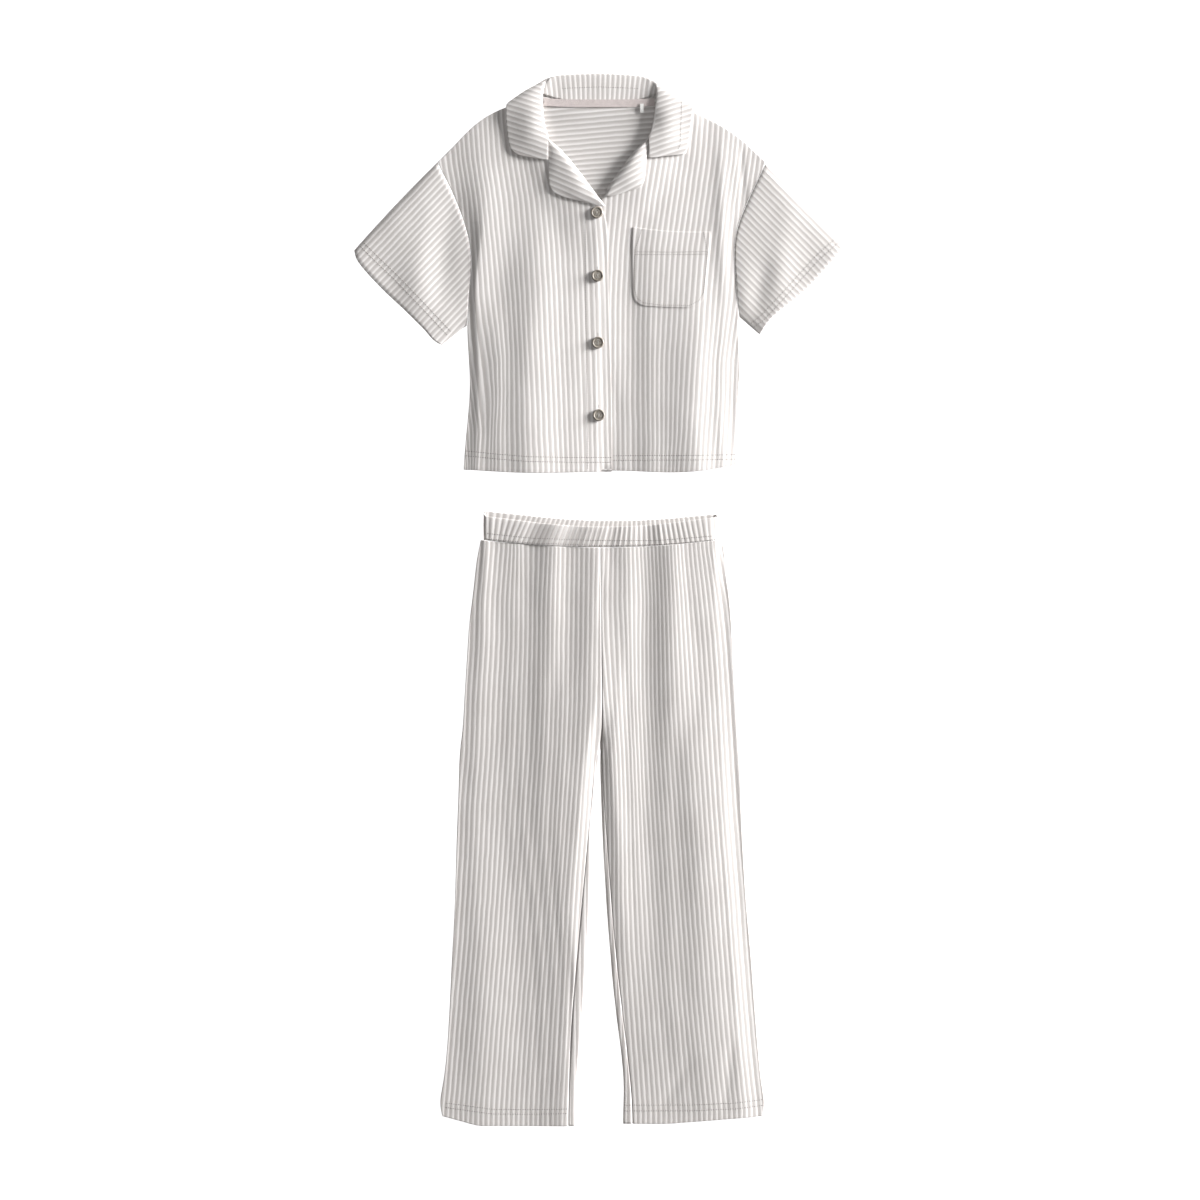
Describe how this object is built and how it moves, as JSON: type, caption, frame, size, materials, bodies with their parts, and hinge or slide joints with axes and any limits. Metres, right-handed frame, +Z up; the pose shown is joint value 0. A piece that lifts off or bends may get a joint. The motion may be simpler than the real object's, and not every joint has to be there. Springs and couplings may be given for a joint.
{
  "type": "pyjama set",
  "caption": "Short-sleeved notched-collar pyjama shirt with chest pocket, laid flat above its matching elastic-waist trousers.",
  "frame": {"origin": "middle of the laid-out set's plan, on the surface that it lies on", "axes": "+X to the viewer's right, +Y from the trouser hems towards the collar, +Z up off the surface"},
  "size_m": [0.6145, 1.3148, 0.0132],
  "materials": {
    "jersey": "soft brushed rib-stripe jersey in off-white and warm grey",
    "tape": "plain pale pink-beige binding",
    "loop": "bare white ribbon",
    "button": "satin grey-brown with a faint marbling"
  },
  "bodies": {
    "root": {"shirt_back": "jersey", "shirt_front_left": "jersey", "shirt_front_right": "jersey", "sleeve_right": "jersey", "sleeve_left": "jersey", "collar": "jersey", "lapel_right": "jersey", "lapel_left": "jersey", "back_neck_facing": "jersey", "neck_tape": "tape", "neck_loop_tab": "loop", "chest_pocket": "jersey", "button_1": "button", "button_2": "button", "button_3": "button", "button_4": "button", "waistband": "jersey", "trouser_front_right": "jersey", "trouser_front_left": "jersey", "trouser_back_right": "jersey", "trouser_back_left": "jersey"}
  },
  "joints": []
}
